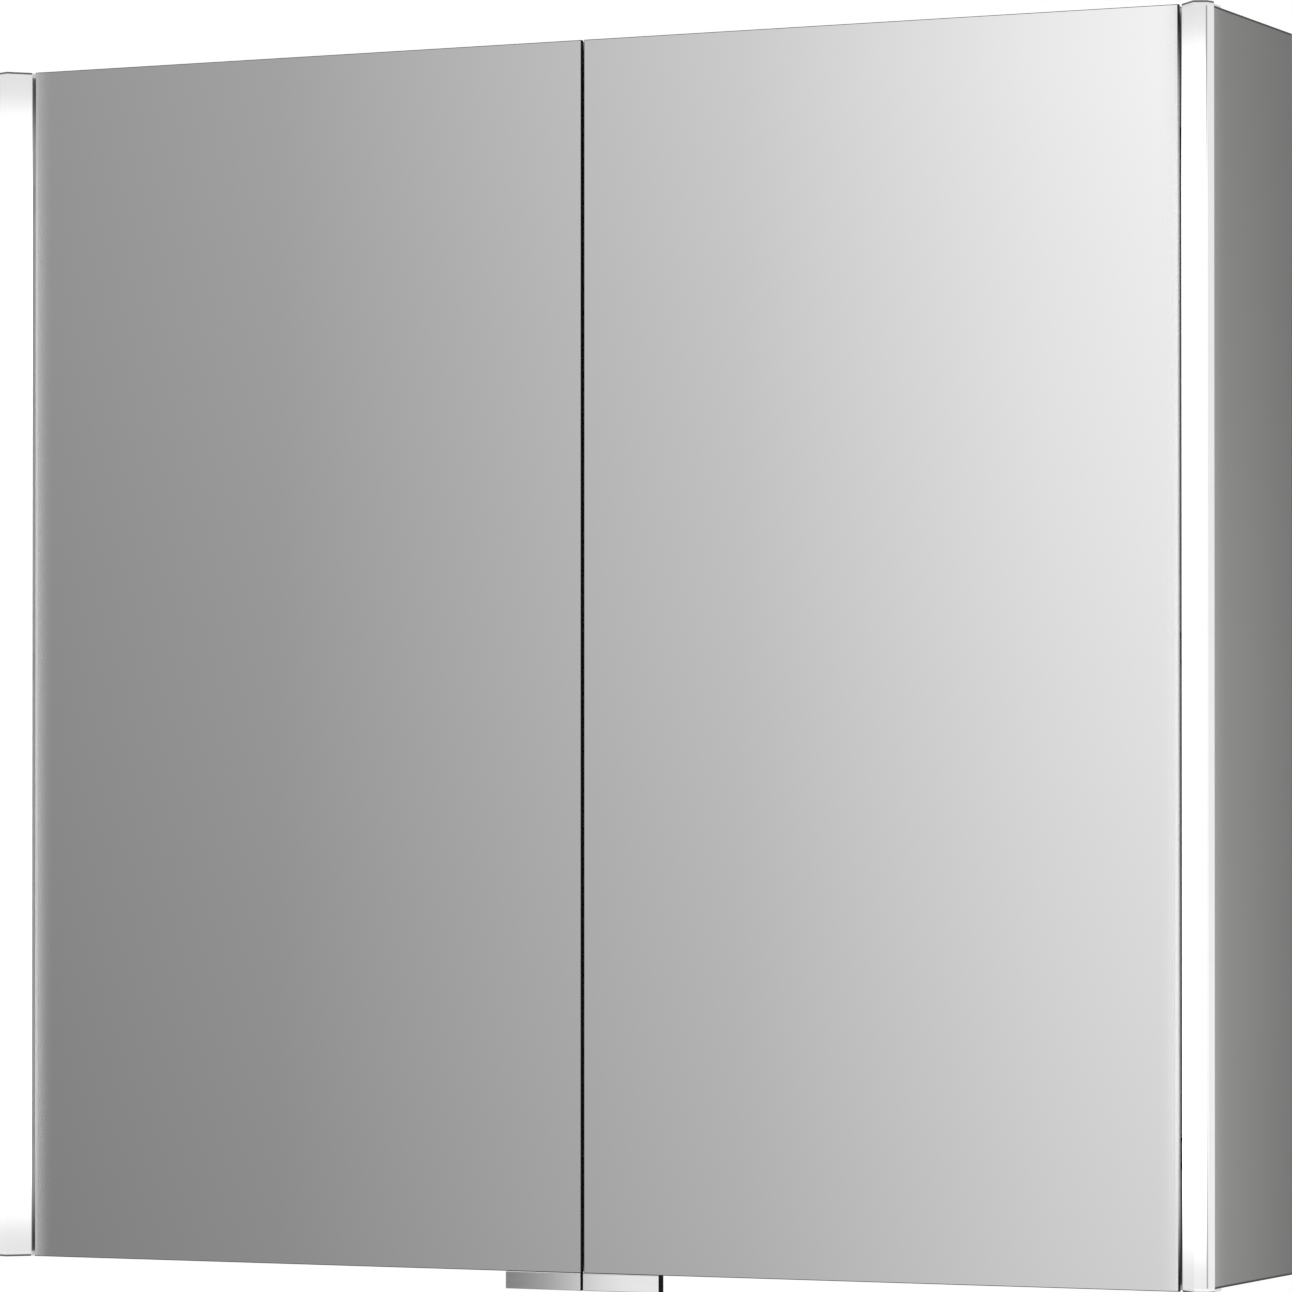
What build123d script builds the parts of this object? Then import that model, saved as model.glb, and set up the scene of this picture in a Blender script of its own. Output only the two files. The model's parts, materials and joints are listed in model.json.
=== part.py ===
from build123d import *
import os

# Mirror cabinet for a bathroom wall, with two mirrored doors between two full-height light bars.
# Millimetres. The origin is the centre of the wall face: +X to the right, +Y into the wall, +Z up.
# The left half is modelled, and the right half is its mirror image in the YZ plane.

# Whole cabinet
WIDTH = 800.0
HEIGHT = 737.0
DOOR_FRONT = 136.3  # mirror face of the closed doors, in front of the wall
PANEL = 14.0  # top, bottom and centre panels
SIDE_PANEL = 16.0
SIDE_INSET = 0.7  # side panel's outer face, inside the overall width
SIDE_SHORTER = 2.2  # side panel's ends, inside the overall height
SIDE_LIP = 2.0  # thin front edge that hides the light bar's carrier
SIDE_LIP_REACH = 2.1  # that edge's reach in front of the mirror face
BACK_PANEL = 6.0
CORNER_PAST_PIN = 18.5  # the top and bottom panels' front corners are cut back from here outwards
CORNER_DEPTH = 26.0  # how far behind the mirror face they are cut back to

# Doors
MIRROR = 3.0
DOOR_CORE = 10.0
DOOR_REST_GAP = 1.3  # between a closed door and the carcass
CENTRE_GAP = 1.8
DOOR_RAIL = 14.0  # visible width of the aluminium frame behind the mirrors
HINGE_STILE = 46.0
FRAME_INSET = 0.6  # frame's edges, inside the mirrors' edges
GROUND_EDGE = 0.4
HANDLE_WIDTH = 49.5
HANDLE_DROP = 10.5
HANDLE_DEPTH = 7.0
HANDLE_PROUD = 1.0
HANDLE_SCREW_SEAT = 4.0
HANDLE_SCREW_SPREAD = 16.0  # each screw from the handle's middle
HANDLE_SCREW_HOLE = 1.2
GROOVE_RADIUS = 3.2
GROOVE_BEHIND = 1.8  # groove's centre line, behind the handle's back
GROOVE_DROP = 6.0
GROOVE_END = 3.0  # solid metal left at each end of the groove
BUMPER_X = 60.0
BUMPER_RADIUS = 4.5
BUMPER_PLAY = 0.3

# Light bars: the lens section as (outwards from the mirror's edge, forwards of the mirror face)
LENS_SECTION = [(2.3, 0.3), (13.5, 12.0), (20.9, 9.1), (22.8, 3.3)]
LENS_WALL = 1.8
LENS_STEP = 0.3  # between the lens and the side panel's front edge
LENS_RIM = 2.3  # width of the lens's feet on the carrier
CARRIER_WALL = 1.5
CARRIER_BASE = 2.0
CARRIER_WIDTH = 17.6
END_CAP = 3.0
STRIP_WIDTH = 10.0
STRIP = 1.2
LED = 3.5
LED_PROUD = 0.8
LED_PITCH = 29.5
LED_COUNT = 24

# Hinges: the pin stands in the door's thickness
HINGE_HEIGHTS = [-290.0, 0.0, 290.0]
PIN_IN = 15.0  # from the door's outer end
PIN_BACK = 7.3  # from the mirror face
PIN_RADIUS = 1.5
PIN_PLAY = 0.05
KNUCKLE_RADIUS = 3.0
ARM_HEIGHT = 12.0
ARM_THICKNESS = 3.2
POCKET_LENGTH = 34.0
POCKET_HEIGHT = 18.4
CHEEK = 2.5
CHEEK_PLAY = 0.3
CHEEK_BEYOND_PIN = 4.0
CUP_WEB = 3.0
CUP_FLANGE = (10.0, 13.0)  # its reach past the pocket and half its height
CUP_FLANGE_THICKNESS = 1.2
CUP_SCREW_IN = 5.0  # from the pocket's end
CUP_SCREW_SPREAD = 8.0
CUP_SCREW_SHANK = 1.4
ROUTE_OUT = 6.5  # the arm's line from its pin: inwards, then backwards
ROUTE_BACK = [10.0, 22.5, 27.0]
FOOT_BACK = (24.0, 58.0)
PLATE = 3.0  # mounting plate between an arm's foot and the side panel
PLATE_BACK = (22.0, 62.0)
PLATE_HALF_HEIGHT = 18.0
PLATE_CORNER = 4.0
PLATE_SCREW_BACK = 42.0
PLATE_SCREW_SPREAD = 13.0
PLATE_SCREW_SHANK = 1.7
PLATE_SCREW_LENGTH = 11.0

# Inside
SHELF = 6.0
SHELF_HEIGHTS = [-195.0, -35.0, 125.0]
SHELF_FRONT = 92.0
SHELF_BACK = 12.0
SHELF_END_PLAY = 1.5
SHELF_BEVEL = 0.7
PEG_RADIUS = 2.5
PEG_PLAY = 0.05
PEG_IN_WALL = 8.0
PEG_IN_PARTITION = 6.0
PEG_END_PLAY = 0.5
PEG_OUT = 7.0
PEG_ROWS = [80.0, 24.0]  # in front of the wall
PEG_PITCH = 32.0
REAR_MIRROR = 4.0
REAR_MIRROR_TOP = 290.0
REAR_MIRROR_BOTTOM = -318.0
REAR_MIRROR_GAP = 2.0
REAR_MIRROR_BEVEL = 0.8

# Wall fixing and mains
FIXING_X = 300.0
FIXING_Z = 334.0
FIXING_HOLE = 3.5
WASHER = 2.0
WASHER_RADIUS = 9.0
WASHER_BEVEL = 0.6
GROMMET_X = 185.0
GROMMET_Z = 338.0
GROMMET_BORE = 4.5
GROMMET_BODY = 8.0
GROMMET_FLANGE = 10.5
GROMMET_LIP = 2.0

# Switch and socket unit, and the lights' driver
UNIT_X = (30.0, 210.0)
UNIT_Z_BOTTOM = 296.0
UNIT_FRONT = 84.0
UNIT_WALL = 2.5
UNIT_CORNER = 3.0
SOCKET_X = 82.0
SOCKET_RADIUS = 21.0
SOCKET_RIM = 2.0
SOCKET_PROUD = 1.0
SOCKET_DEPTH = 12.0
SOCKET_FLOOR = 4.0
SOCKET_PIN_HOLE = 2.5
SOCKET_PIN_X = 9.5
SWITCH_X = 160.0
SWITCH_HALF = (10.0, 13.2)
SWITCH_PLAY = (0.4, 1.4)
SWITCH_TILT = 7.0
SWITCH_PIVOT_BACK = 5.0
SWITCH_CREST = 4.6  # its face at the pivot, in front of the pivot
SWITCH_TIP = 6.2  # its face at the ends
SWITCH_TIP_BACK = 2.2
SWITCH_ROOT = (2.0, 3.0)  # behind the pivot, and half its height there
TRUNNION = 1.5
TRUNNION_LENGTH = 3.0
EAR_DEPTH = 9.0
EAR_HALF_HEIGHT = 4.0
DRIVER_X = (-200.0, -40.0)
DRIVER_Z_BOTTOM = 325.0
DRIVER_FRONT = 70.0
DRIVER_WALL = 2.0
DRIVER_CORNER = 1.5
LEAD_RADIUS = 1.5
LEAD_Y = 40.0  # in front of the wall
LEAD_IN_WALL = 6.0
LEAD_PLAY = 0.5
LEAD_TIGHT_PLAY = 0.2

# Worked out from the sizes above
HALF_HEIGHT = HEIGHT / 2
SIDE_TOP = HALF_HEIGHT - SIDE_SHORTER
INNER_TOP = SIDE_TOP - PANEL
DOOR_END = WIDTH / 2 - LENS_SECTION[-1][0]
DOOR_THICKNESS = 2 * MIRROR + DOOR_CORE
CARCASS_FRONT = DOOR_FRONT - DOOR_THICKNESS - DOOR_REST_GAP
SIDE_OUTER = WIDTH / 2 - SIDE_INSET
SIDE_INNER = SIDE_OUTER - SIDE_PANEL
CARRIER_INNER = DOOR_END + LENS_SECTION[0][0]
CARRIER_OUTER = CARRIER_INNER + CARRIER_WIDTH
CARRIER_FRONT = DOOR_FRONT - LENS_STEP
PIN_X = -(DOOR_END - PIN_IN)
PIN_Y = -(DOOR_FRONT - PIN_BACK)
PLATE_SCREW_Y = -(PIN_Y + PLATE_SCREW_BACK)
HANDLE_SCREW_Y = -(DOOR_FRONT - MIRROR - 1.25)
UNIT_Z = (UNIT_Z_BOTTOM + INNER_TOP) / 2
LEAD_Z = INNER_TOP - 8.0
CUT = 1.0  # how far a cutting body passes the faces it cuts


def block(x, y, z):
    """A box between the two values given on each axis."""
    size = [abs(span[1] - span[0]) for span in (x, y, z)]
    centre = [(span[1] + span[0]) / 2 for span in (x, y, z)]
    return Pos(*centre) * Box(*size)


def rod_x(x, y, z, radius):
    """A round rod along X from x[0] to x[1]."""
    turned = Rot(0, 90, 0) * Cylinder(radius, abs(x[1] - x[0]))
    return Pos((x[0] + x[1]) / 2, y, z) * turned


def rod_y(x, y, z, radius):
    turned = Rot(90, 0, 0) * Cylinder(radius, abs(y[1] - y[0]))
    return Pos(x, (y[0] + y[1]) / 2, z) * turned


def rod_z(x, y, z, radius):
    return Pos(x, y, (z[0] + z[1]) / 2) * Cylinder(radius, abs(z[1] - z[0]))


def prism_z(points, z):
    """A prism between two heights, on an outline in plan."""
    outline = make_face(Polyline(*points, close=True))
    return extrude(Pos(0, 0, z[0]) * outline, amount=z[1] - z[0], dir=(0, 0, 1))


def slot_head_screw(x, y, z, head, shank, length, along):
    """A pan-head screw whose head stands on (x, y, z) and whose shank goes in along the vector."""
    plane = Plane(origin=(x, y, z), z_dir=along)
    body = Pos(0, 0, length / 2) * Cylinder(shank, length)
    cap = Pos(0, 0, -head * 0.3) * Cylinder(head, head * 0.6)
    cap = chamfer(cap.edges().group_by(Axis.Z)[0], head * 0.25)
    slot = Pos(0, 0, -head * 0.6) * Box(head * 1.3, head * 0.28, head * 0.5)
    return plane * (body + cap - slot)


def save(name, shape):
    export_step(shape, f"parts/{name}.step")


def save_group(name, solids):
    save(name, Compound(children=solids))


def save_pair(name, shape):
    """Writes the left piece and its mirror image on the right."""
    save(f"{name}_left", shape)
    save(f"{name}_right", mirror(shape, about=Plane.YZ))


def save_pair_group(name, solids):
    save_group(f"{name}_left", solids)
    save_group(f"{name}_right", [mirror(solid, about=Plane.YZ) for solid in solids])


def peg_holes(wall_x, depth):
    """Drill bodies for the shelf pegs in one wall face, with a spare hole above and below each."""
    holes = []
    for shelf in SHELF_HEIGHTS:
        for step in (-1, 0, 1):
            height = shelf - SHELF / 2 - PEG_RADIUS + step * PEG_PITCH
            for row in PEG_ROWS:
                span = (wall_x, wall_x + depth)
                holes.append(rod_x(span, -row, height, PEG_RADIUS + PEG_PLAY))
    return holes


def side_panel():
    wall = block((-SIDE_OUTER, -SIDE_INNER), (-CARCASS_FRONT, 0), (-SIDE_TOP, SIDE_TOP))
    lip_front = -(DOOR_FRONT + SIDE_LIP_REACH)
    lip = block((-SIDE_OUTER, -SIDE_OUTER + SIDE_LIP), (lip_front, -CARCASS_FRONT), (-SIDE_TOP, SIDE_TOP))
    lead_span = (-SIDE_INNER, -SIDE_INNER - LEAD_IN_WALL - 2)
    lead_hole = rod_x(lead_span, -LEAD_Y, LEAD_Z, LEAD_RADIUS + LEAD_PLAY)
    screw_span = (-SIDE_INNER, -SIDE_INNER - PLATE_SCREW_LENGTH + PLATE - CUT)
    screw_holes = [rod_x(screw_span, y, z, PLATE_SCREW_SHANK + 0.1) for y, z in plate_screw_places()]
    pegs = peg_holes(-SIDE_INNER, -PEG_IN_WALL - PEG_END_PLAY)
    return wall + lip - lead_hole - pegs - screw_holes


def plate_screw_places():
    spread = (-PLATE_SCREW_SPREAD, PLATE_SCREW_SPREAD)
    return [(-PLATE_SCREW_Y, z + offset_z) for z in HINGE_HEIGHTS for offset_z in spread]


def cross_panel(level):
    """The top (level 1) or bottom (level -1) panel, cut back at its front corners for the doors' ends."""
    z = sorted((level * INNER_TOP, level * SIDE_TOP))
    panel = block((-SIDE_INNER, SIDE_INNER), (-CARCASS_FRONT, 0), z)
    corner_end = DOOR_END - PIN_IN - CORNER_PAST_PIN
    corner_back = DOOR_FRONT - CORNER_DEPTH
    for side in (-1, 1):
        panel -= block((side * corner_end, side * SIDE_INNER), (-CARCASS_FRONT, -corner_back), z)
    return panel


def centre_partition():
    wall = block((-PANEL / 2, PANEL / 2), (-CARCASS_FRONT, -BACK_PANEL), (-INNER_TOP, INNER_TOP))
    depth = PEG_IN_PARTITION + PEG_END_PLAY
    holes = peg_holes(-PANEL / 2, depth) + peg_holes(PANEL / 2, -depth)
    lead_hole = rod_x((-PANEL, PANEL), -LEAD_Y, LEAD_Z, LEAD_RADIUS + LEAD_PLAY)
    return wall - holes - lead_hole


def back_panel():
    panel = block((-SIDE_INNER, SIDE_INNER), (-BACK_PANEL, 0), (-INNER_TOP, INNER_TOP))
    for x in (-FIXING_X, FIXING_X):
        for z in (-FIXING_Z, FIXING_Z):
            panel -= rod_y(x, (-BACK_PANEL - CUT, CUT), z, FIXING_HOLE)
    return panel - rod_y(GROMMET_X, (-BACK_PANEL - CUT, CUT), GROMMET_Z, GROMMET_BODY)


def fixing_washers():
    depth = (-BACK_PANEL - WASHER, -BACK_PANEL)
    washers = []
    for x in (-FIXING_X, FIXING_X):
        for z in (-FIXING_Z, FIXING_Z):
            disc = rod_y(x, depth, z, WASHER_RADIUS)
            disc = chamfer(disc.edges().group_by(Axis.Y)[0], WASHER_BEVEL)
            washers.append(disc - rod_y(x, depth, z, FIXING_HOLE))
    return washers


def cable_grommet():
    body = rod_y(GROMMET_X, (-BACK_PANEL, 0), GROMMET_Z, GROMMET_BODY)
    front = -BACK_PANEL - GROMMET_LIP
    flange = rod_y(GROMMET_X, (front, -BACK_PANEL), GROMMET_Z, GROMMET_FLANGE)
    return body + flange - rod_y(GROMMET_X, (front, 0), GROMMET_Z, GROMMET_BORE)


def rear_mirror():
    depth = (-BACK_PANEL - REAR_MIRROR, -BACK_PANEL)
    width = (-SIDE_INNER + REAR_MIRROR_GAP, -PANEL / 2 - REAR_MIRROR_GAP)
    plate = block(width, depth, (REAR_MIRROR_BOTTOM, REAR_MIRROR_TOP))
    return chamfer(plate.faces().sort_by(Axis.Y)[0].edges(), REAR_MIRROR_BEVEL)


def glass_shelf(height):
    span = (-SIDE_INNER + SHELF_END_PLAY, -PANEL / 2 - SHELF_END_PLAY)
    plate = block(span, (-SHELF_FRONT, -SHELF_BACK), (height - SHELF / 2, height + SHELF / 2))
    return chamfer(plate.edges().filter_by(Axis.X), SHELF_BEVEL)


def shelf_pegs():
    pegs = []
    for shelf in SHELF_HEIGHTS:
        height = shelf - SHELF / 2 - PEG_RADIUS
        for row in PEG_ROWS:
            outer = (-SIDE_INNER - PEG_IN_WALL, -SIDE_INNER + PEG_OUT)
            inner = (-PANEL / 2 - PEG_OUT, -PANEL / 2 + PEG_IN_PARTITION)
            pegs.append(rod_x(outer, -row, height, PEG_RADIUS))
            pegs.append(rod_x(inner, -row, height, PEG_RADIUS))
    return pegs


def lens_outline():
    """Section of the lens in plan, on the left: it stands on the carrier's front rim."""
    front = [(-(DOOR_END + out), -(DOOR_FRONT + forward)) for out, forward in LENS_SECTION]
    step = -(DOOR_FRONT + SIDE_LIP_REACH + LENS_STEP)
    return front + [
        (-WIDTH / 2, step),
        (-CARRIER_OUTER, step),
        (-CARRIER_OUTER, -CARRIER_FRONT),
        (-CARRIER_INNER, -CARRIER_FRONT),
    ]


def light_lens():
    outline = make_face(Polyline(*lens_outline(), close=True))
    hollow = offset(outline, amount=-LENS_WALL)
    way_size = (CARRIER_WIDTH - 2 * LENS_RIM, 2 * LENS_WALL + 0.4)
    light_way = Pos(-(CARRIER_INNER + CARRIER_OUTER) / 2, -CARRIER_FRONT) * Rectangle(*way_size)
    section = Pos(0, 0, -HALF_HEIGHT + END_CAP) * (outline - hollow - light_way)
    return extrude(section, amount=HEIGHT - 2 * END_CAP, dir=(0, 0, 1))


def light_carrier():
    z = (-HALF_HEIGHT + END_CAP, HALF_HEIGHT - END_CAP)
    body = block((-CARRIER_OUTER, -CARRIER_INNER), (-CARRIER_FRONT, -CARCASS_FRONT), z)
    channel_x = (-CARRIER_OUTER + CARRIER_WALL, -CARRIER_INNER - CARRIER_WALL)
    return body - block(channel_x, (-CARRIER_FRONT, -CARCASS_FRONT - CARRIER_BASE), z)


def led_strip():
    middle = -(CARRIER_INNER + CARRIER_OUTER) / 2
    back = -CARCASS_FRONT - CARRIER_BASE
    length = LED_PITCH * LED_COUNT
    width = (middle - STRIP_WIDTH / 2, middle + STRIP_WIDTH / 2)
    strip = block(width, (back - STRIP, back), (-length / 2, length / 2))
    led_depth = (back - STRIP - LED_PROUD, back - STRIP)
    for place in range(LED_COUNT):
        z = (place - (LED_COUNT - 1) / 2) * LED_PITCH
        strip += block((middle - LED / 2, middle + LED / 2), led_depth, (z - LED / 2, z + LED / 2))
    return strip


def light_end_caps():
    foot = [(-CARRIER_OUTER, -CARCASS_FRONT), (-CARRIER_INNER, -CARCASS_FRONT)]
    outline = lens_outline()[:-2] + foot
    caps = []
    for z in ((-HALF_HEIGHT, -HALF_HEIGHT + END_CAP), (HALF_HEIGHT - END_CAP, HALF_HEIGHT)):
        caps.append(prism_z(outline, z))
    return caps


def door_slab(depth, inset=0.0):
    """A plate of the left door between two depths behind the mirror face."""
    x = (-DOOR_END + inset, -CENTRE_GAP / 2 - inset)
    y = (-DOOR_FRONT + depth[0], -DOOR_FRONT + depth[1])
    return block(x, y, (-HALF_HEIGHT + inset, HALF_HEIGHT - inset))


def hinge_pockets(depth):
    """The spaces at the door's outer end that the hinge arms stand in."""
    y = (-DOOR_FRONT + depth[0], -DOOR_FRONT + depth[1])
    x = (-DOOR_END - CUT, -DOOR_END + POCKET_LENGTH)
    half = POCKET_HEIGHT / 2
    return [block(x, y, (z - half, z + half)) for z in HINGE_HEIGHTS]


def door_front_mirror():
    plate = door_slab((0, MIRROR))
    return chamfer(plate.faces().sort_by(Axis.Y)[0].edges(), GROUND_EDGE)


def door_back_mirror():
    depth = (MIRROR + DOOR_CORE, DOOR_THICKNESS)
    cut_depth = (depth[0] - CUT, depth[1] + CUT)
    plate = door_slab(depth) - hinge_pockets(cut_depth)
    for x, z in cup_screw_places():
        y = (-DOOR_FRONT + cut_depth[0], -DOOR_FRONT + cut_depth[1])
        plate -= rod_y(x, y, z, CUP_SCREW_SHANK + 0.4)
    return plate


def core_opening():
    x = (-DOOR_END + HINGE_STILE, -CENTRE_GAP / 2 - DOOR_RAIL)
    y = (-DOOR_FRONT + MIRROR, -DOOR_FRONT + MIRROR + DOOR_CORE)
    half = HALF_HEIGHT - DOOR_RAIL
    return block(x, y, (-half, half))


def door_frame():
    depth = (MIRROR, MIRROR + DOOR_CORE)
    frame = door_slab(depth, inset=FRAME_INSET) - core_opening() - hinge_pockets(depth)
    cup_screw_hole = (-DOOR_FRONT + depth[1] - 7, -DOOR_FRONT + depth[1] + CUT)
    handle_screw_hole = (-HALF_HEIGHT, -HALF_HEIGHT + 9)
    for x, z in cup_screw_places():
        frame -= rod_y(x, cup_screw_hole, z, CUP_SCREW_SHANK + 0.1)
    for x in handle_screw_places():
        frame -= rod_z(x, HANDLE_SCREW_Y, handle_screw_hole, HANDLE_SCREW_HOLE)
    return frame


def cup_screw_places():
    x = -DOOR_END + POCKET_LENGTH + CUP_SCREW_IN
    return [(x, z + side * CUP_SCREW_SPREAD) for z in HINGE_HEIGHTS for side in (-1, 1)]


def hinge_cups():
    """U-shaped cups in the pockets: two cheeks that hold the pin, a web, and a flange on the back."""
    cups = []
    front = -DOOR_FRONT + MIRROR + 0.6
    back = -DOOR_FRONT + DOOR_THICKNESS
    end = -DOOR_END + POCKET_LENGTH
    inner = ARM_HEIGHT / 2 + CHEEK_PLAY
    outer = inner + CHEEK
    reach, flange_half = CUP_FLANGE
    flange_depth = (back, back + CUP_FLANGE_THICKNESS)
    for z in HINGE_HEIGHTS:
        cup = block((end - CUP_WEB, end), (front, back), (z - outer, z + outer))
        for side in (-1, 1):
            cheek_z = (z + side * inner, z + side * outer)
            cheek = block((PIN_X - CHEEK_BEYOND_PIN, end), (front, back - 1), cheek_z)
            cup += fillet(cheek.edges().filter_by(Axis.Z).group_by(Axis.X)[0], KNUCKLE_RADIUS)
        cup += block((end - CUP_WEB, end + reach), flange_depth, (z - flange_half, z + flange_half))
        cup -= rod_z(PIN_X, PIN_Y, (z - outer, z + outer), PIN_RADIUS)
        for side in (-1, 1):
            screw_z = z + side * CUP_SCREW_SPREAD
            cup -= rod_y(end + CUP_SCREW_IN, (back - CUT, back + 2 * CUT), screw_z, CUP_SCREW_SHANK + 0.2)
        cups.append(cup)
    return cups


def hinge_cup_screws():
    back = -DOOR_FRONT + DOOR_THICKNESS + CUP_FLANGE_THICKNESS
    screws = []
    for x, z in cup_screw_places():
        screws.append(slot_head_screw(x, back, z, 2.6, CUP_SCREW_SHANK, 8.5, (0, -1, 0)))
    return screws


def hinge_pins():
    reach = ARM_HEIGHT / 2 + CHEEK_PLAY + CHEEK - 0.1
    return [rod_z(PIN_X, PIN_Y, (z - reach, z + reach), PIN_RADIUS) for z in HINGE_HEIGHTS]


def arm_route():
    """The arm's line in plan: out of the pocket, then across behind the door's end to the plate."""
    return [
        (PIN_X, PIN_Y),
        (PIN_X + ROUTE_OUT, PIN_Y + ROUTE_BACK[0]),
        (PIN_X + ROUTE_OUT, PIN_Y + ROUTE_BACK[1]),
        (-SIDE_INNER + PLATE + ARM_THICKNESS, PIN_Y + ROUTE_BACK[2]),
    ]


def hinge_arms():
    route = Polyline(*arm_route())
    line = offset(route, amount=ARM_THICKNESS / 2, side=Side.BOTH)
    section = make_face(line) + Pos(PIN_X, PIN_Y) * Circle(KNUCKLE_RADIUS)
    foot_y = PIN_Y + sum(FOOT_BACK) / 2
    foot = Rectangle(ARM_THICKNESS, FOOT_BACK[1] - FOOT_BACK[0])
    section += Pos(-SIDE_INNER + PLATE + ARM_THICKNESS / 2, foot_y) * foot
    section -= Pos(PIN_X, PIN_Y) * Circle(PIN_RADIUS + PIN_PLAY)
    arms = []
    for z in HINGE_HEIGHTS:
        lower = Pos(0, 0, z - ARM_HEIGHT / 2) * section
        arms.append(extrude(lower, amount=ARM_HEIGHT, dir=(0, 0, 1)))
    return arms


def hinge_plates():
    """Mounting plates on the side panel, which the arms' feet lie on."""
    plates = []
    x = (-SIDE_INNER, -SIDE_INNER + PLATE)
    y = (PIN_Y + PLATE_BACK[0], PIN_Y + PLATE_BACK[1])
    hole = (x[0] - CUT, x[1] + CUT)
    for z in HINGE_HEIGHTS:
        plate = block(x, y, (z - PLATE_HALF_HEIGHT, z + PLATE_HALF_HEIGHT))
        plate = fillet(plate.edges().filter_by(Axis.X), PLATE_CORNER)
        for side in (-1, 1):
            screw_z = z + side * PLATE_SCREW_SPREAD
            plate -= rod_x(hole, -PLATE_SCREW_Y, screw_z, PLATE_SCREW_SHANK + 0.2)
        plates.append(plate)
    return plates


def hinge_plate_screws():
    seat = -SIDE_INNER + PLATE
    size = (3.2, PLATE_SCREW_SHANK, PLATE_SCREW_LENGTH)
    return [slot_head_screw(seat, y, z, *size, (-1, 0, 0)) for y, z in plate_screw_places()]


def handle_screw_places():
    centre = -CENTRE_GAP / 2 - HANDLE_WIDTH / 2
    return [centre - HANDLE_SCREW_SPREAD, centre + HANDLE_SCREW_SPREAD]


def door_handle():
    """A short bar under the door, with a groove for the fingertips in its back."""
    x = (-CENTRE_GAP / 2 - HANDLE_WIDTH, -CENTRE_GAP / 2)
    front = -DOOR_FRONT - HANDLE_PROUD
    z = (-HALF_HEIGHT - HANDLE_DROP, -HALF_HEIGHT)
    bar = block(x, (front, front + HANDLE_DEPTH), z)
    bar = chamfer(bar.edges().filter_by(Axis.X), 0.4)
    groove = (x[0] + GROOVE_END, x[1] - GROOVE_END)
    bar -= rod_x(groove, front + HANDLE_DEPTH + GROOVE_BEHIND, -HALF_HEIGHT - GROOVE_DROP, GROOVE_RADIUS)
    for place in handle_screw_places():
        bar -= rod_z(place, HANDLE_SCREW_Y, z, HANDLE_SCREW_HOLE + 0.1)
        bar -= rod_z(place, HANDLE_SCREW_Y, (z[0], z[0] + HANDLE_SCREW_SEAT), HANDLE_SCREW_HOLE + 0.5)
    return bar


def handle_screws():
    seat = -HALF_HEIGHT - HANDLE_DROP + HANDLE_SCREW_SEAT
    screws = []
    for x in handle_screw_places():
        screws.append(slot_head_screw(x, HANDLE_SCREW_Y, seat, 1.6, 1.15, 14, (0, 0, 1)))
    return screws


def door_bumpers():
    """Soft discs that the closed doors rest on, on the front edges of the top and bottom panels."""
    depth = (-CARCASS_FRONT - DOOR_REST_GAP + BUMPER_PLAY, -CARCASS_FRONT)
    height = SIDE_TOP - PANEL / 2
    places = [(x, z) for x in (-BUMPER_X, BUMPER_X) for z in (-height, height)]
    return [rod_y(x, depth, z, BUMPER_RADIUS) for x, z in places]


def lead_way(x):
    """The way of the right bar's lead through a housing that spans x."""
    return rod_x((x[0] - CUT, x[1] + CUT), -LEAD_Y, LEAD_Z, LEAD_RADIUS + LEAD_TIGHT_PLAY)


def power_unit():
    """Housing of the switch and socket, open towards the back panel."""
    x, z = UNIT_X, (UNIT_Z_BOTTOM, INNER_TOP)
    shell = block(x, (-UNIT_FRONT, -BACK_PANEL), z)
    shell = fillet(shell.faces().sort_by(Axis.Y)[0].edges().filter_by(Axis.Z), UNIT_CORNER)
    w = UNIT_WALL
    front_wall = (-UNIT_FRONT - CUT, -UNIT_FRONT + w + CUT)
    shell -= block((x[0] + w, x[1] - w), (-UNIT_FRONT + w, -BACK_PANEL), (z[0] + w, z[1] - w))
    shell -= rod_y(SOCKET_X, front_wall, UNIT_Z, SOCKET_RADIUS)
    half_x, half_z = [half + play for half, play in zip(SWITCH_HALF, SWITCH_PLAY)]
    window_x = (SWITCH_X - half_x, SWITCH_X + half_x)
    shell -= block(window_x, front_wall, (UNIT_Z - half_z, UNIT_Z + half_z))
    ear_y = (-UNIT_FRONT + w, -UNIT_FRONT + EAR_DEPTH)
    ear_z = (UNIT_Z - EAR_HALF_HEIGHT, UNIT_Z + EAR_HALF_HEIGHT)
    ear_end = half_x + TRUNNION_LENGTH
    for side in (-1, 1):
        shell += block((SWITCH_X + side * half_x, SWITCH_X + side * ear_end), ear_y, ear_z)
    pivot = -UNIT_FRONT + SWITCH_PIVOT_BACK
    shell -= rod_x((SWITCH_X - ear_end, SWITCH_X + ear_end), pivot, UNIT_Z, TRUNNION + PIN_PLAY)
    return shell - lead_way(x)


def socket_insert():
    front = -UNIT_FRONT - SOCKET_PROUD
    floor = front + SOCKET_DEPTH
    back = floor + SOCKET_FLOOR
    cup = rod_y(SOCKET_X, (front, back), UNIT_Z, SOCKET_RADIUS)
    cup -= rod_y(SOCKET_X, (front, floor), UNIT_Z, SOCKET_RADIUS - SOCKET_RIM)
    for side in (-1, 1):
        cup -= rod_y(SOCKET_X + side * SOCKET_PIN_X, (floor, back), UNIT_Z, SOCKET_PIN_HOLE)
    return cup


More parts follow.
